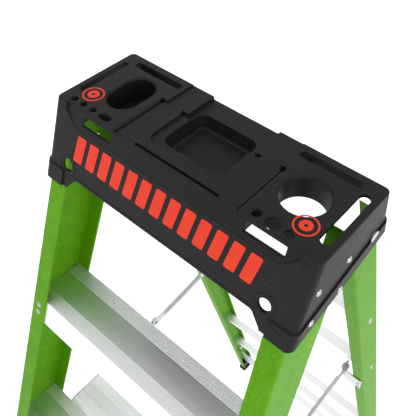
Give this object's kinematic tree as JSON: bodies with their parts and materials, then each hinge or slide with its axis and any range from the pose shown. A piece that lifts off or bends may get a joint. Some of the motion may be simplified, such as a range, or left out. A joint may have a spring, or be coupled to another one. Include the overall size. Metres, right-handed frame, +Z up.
{
  "type": "step ladder",
  "caption": "Fibreglass A-frame step ladder with a moulded tool-tray cap, ribbed aluminium steps, a deep standing step and folding spreaders, standing open.",
  "frame": {"origin": "on the floor, under the middle of the open ladder", "axes": "+Z up, +X across the steps to the climber's right, -Y towards the climber"},
  "size_m": [0.6216, 1.312, 1.79],
  "materials": {
    "cap_black": "moulded black plastic, lightly grained",
    "fibreglass_green": "pultruded glass-fibre channel, bright green, slightly streaky gloss",
    "step_aluminium": "mill-finished extruded aluminium",
    "rivet_bright": "bright domed rivets",
    "zinc_steel": "zinc-plated steel",
    "foot_black": "moulded black plastic",
    "pad_rubber": "black rubber sole with cross grooves"
  },
  "bodies": {
    "front_frame": {"brace_rivets": "rivet_bright", "cap_pivot_left": "zinc_steel", "cap_pivot_right": "zinc_steel", "cap_rivets": "rivet_bright", "extension_bracket_left": "zinc_steel", "extension_bracket_right": "zinc_steel", "extension_rivets": "rivet_bright", "front_foot_left": "foot_black", "front_foot_right": "foot_black", "front_foot_rivets": "rivet_bright", "front_pad_left": "pad_rubber", "front_pad_right": "pad_rubber", "front_rail_left": "fibreglass_green", "front_rail_right": "fibreglass_green", "front_spreader_pin_left": "zinc_steel", "front_spreader_pin_right": "zinc_steel", "pivot_washers": "foot_black", "step_1": "step_aluminium", "step_2": "step_aluminium", "step_3": "step_aluminium", "step_4": "step_aluminium", "step_5": "step_aluminium", "step_brace_left": "zinc_steel", "step_brace_right": "zinc_steel", "step_extension": "step_aluminium", "step_rivets_1": "rivet_bright", "step_rivets_2": "rivet_bright", "step_rivets_3": "rivet_bright", "step_rivets_4": "rivet_bright", "step_rivets_5": "rivet_bright", "top_cap": "cap_black"},
    "rear_frame": {"bracket_rivets": "rivet_bright", "rear_bar_1": "step_aluminium", "rear_bar_2": "step_aluminium", "rear_bar_3": "step_aluminium", "rear_bar_4": "step_aluminium", "rear_bar_5": "step_aluminium", "rear_bar_rivets": "rivet_bright", "rear_brace_left": "zinc_steel", "rear_brace_right": "zinc_steel", "rear_foot_left": "foot_black", "rear_foot_right": "foot_black", "rear_foot_rivets": "rivet_bright", "rear_pad_left": "pad_rubber", "rear_pad_right": "pad_rubber", "rear_rail_left": "fibreglass_green", "rear_rail_right": "fibreglass_green", "rear_spreader_pin_left": "zinc_steel", "rear_spreader_pin_right": "zinc_steel", "spreader_bracket_left": "zinc_steel", "spreader_bracket_right": "zinc_steel"},
    "spreader_front_left": {"knuckle_pin_left": "zinc_steel", "spreader_front_left": "zinc_steel"},
    "spreader_front_right": {"knuckle_pin_right": "zinc_steel", "spreader_front_right": "zinc_steel"},
    "spreader_rear_left": {"spreader_rear_left": "zinc_steel"},
    "spreader_rear_right": {"spreader_rear_right": "zinc_steel"}
  },
  "joints": [
    {"name": "rear_fold", "type": "hinge", "parent": "front_frame", "child": "rear_frame", "pos_m": [0, 0.07865, 1.7378], "axis": [-1, 0, 0], "range_deg": [0, 34]},
    {"name": "spreader_front_left_swing", "type": "hinge", "parent": "front_frame", "child": "spreader_front_left", "pos_m": [-0.1793, -0.14935, 1.15], "axis": [1, 0, 0], "range_deg": [0, 66.6]},
    {"name": "spreader_rear_left_swing", "type": "hinge", "parent": "rear_frame", "child": "spreader_rear_left", "pos_m": [-0.1759, 0.23665, 1.192], "axis": [-1, 0, 0], "range_deg": [0, 69.3]},
    {"name": "spreader_front_right_swing", "type": "hinge", "parent": "front_frame", "child": "spreader_front_right", "pos_m": [0.1793, -0.14935, 1.15], "axis": [1, 0, 0], "range_deg": [0, 66.6]},
    {"name": "spreader_rear_right_swing", "type": "hinge", "parent": "rear_frame", "child": "spreader_rear_right", "pos_m": [0.1759, 0.23665, 1.192], "axis": [-1, 0, 0], "range_deg": [0, 69.3]}
  ],
  "couplings": [
    {"joint": "spreader_front_left_swing", "follows": "rear_fold", "ratio": 1.956},
    {"joint": "spreader_rear_left_swing", "follows": "rear_fold", "ratio": 2.0358},
    {"joint": "spreader_front_right_swing", "follows": "rear_fold", "ratio": 1.956},
    {"joint": "spreader_rear_right_swing", "follows": "rear_fold", "ratio": 2.0358}
  ]
}
